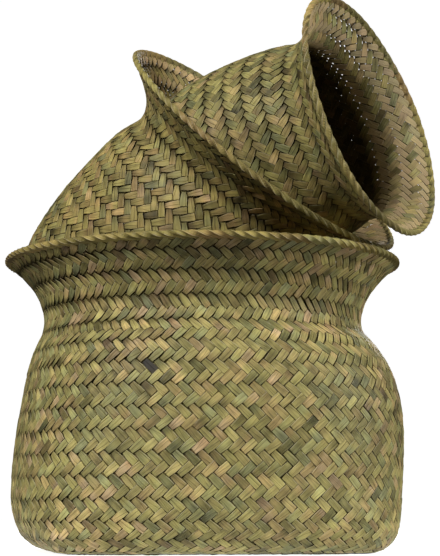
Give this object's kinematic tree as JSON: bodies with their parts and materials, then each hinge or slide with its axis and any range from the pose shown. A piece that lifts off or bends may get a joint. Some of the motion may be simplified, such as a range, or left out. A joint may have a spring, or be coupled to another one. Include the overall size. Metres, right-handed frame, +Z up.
{
  "type": "belly basket set",
  "caption": "Nested set of plaited seagrass belly baskets with flared collars and folded borders, stacked askew, each lifting out of the one below.",
  "frame": {"origin": "middle of the large basket's flat underside, on the surface that it stands on", "axes": "+Z up, along the large basket's own axis; the picture looks along +Y with +X to its right, and the upper baskets lean towards +X and a little towards -Y"},
  "size_m": [0.4398, 0.4114, 0.5458],
  "materials": {
    "large_plait": "dry flat-plaited seagrass, khaki green and tan strands, matte with a slight sheen along the fibres",
    "medium_plait": "dry flat-plaited seagrass, darker khaki with brown and rust strands, matte with a slight sheen along the fibres",
    "small_plait": "dry flat-plaited seagrass, khaki and tan strands, browner inside, matte with a slight sheen along the fibres",
    "folded_border": "strand ends folded over and wrapped into a thick border, tan and khaki, matte"
  },
  "bodies": {
    "large": {"large_base_mat": "large_plait", "large_belly_wall": "large_plait", "large_collar": "large_plait", "large_rim_border": "folded_border"},
    "medium": {"medium_base_mat": "medium_plait", "medium_belly_wall": "medium_plait", "medium_collar": "medium_plait", "medium_rim_border": "folded_border"},
    "small": {"small_base_mat": "small_plait", "small_belly_wall": "small_plait", "small_collar": "small_plait", "small_rim_border": "folded_border"}
  },
  "joints": [
    {"name": "medium_lift", "type": "slide", "parent": "large", "child": "medium", "axis": [0.5846, -0.3513, 0.7314], "range_m": [0, 0.21]},
    {"name": "small_lift", "type": "slide", "parent": "medium", "child": "small", "axis": [0.828, -0.4975, 0.2588], "range_m": [0, 0.17]}
  ]
}
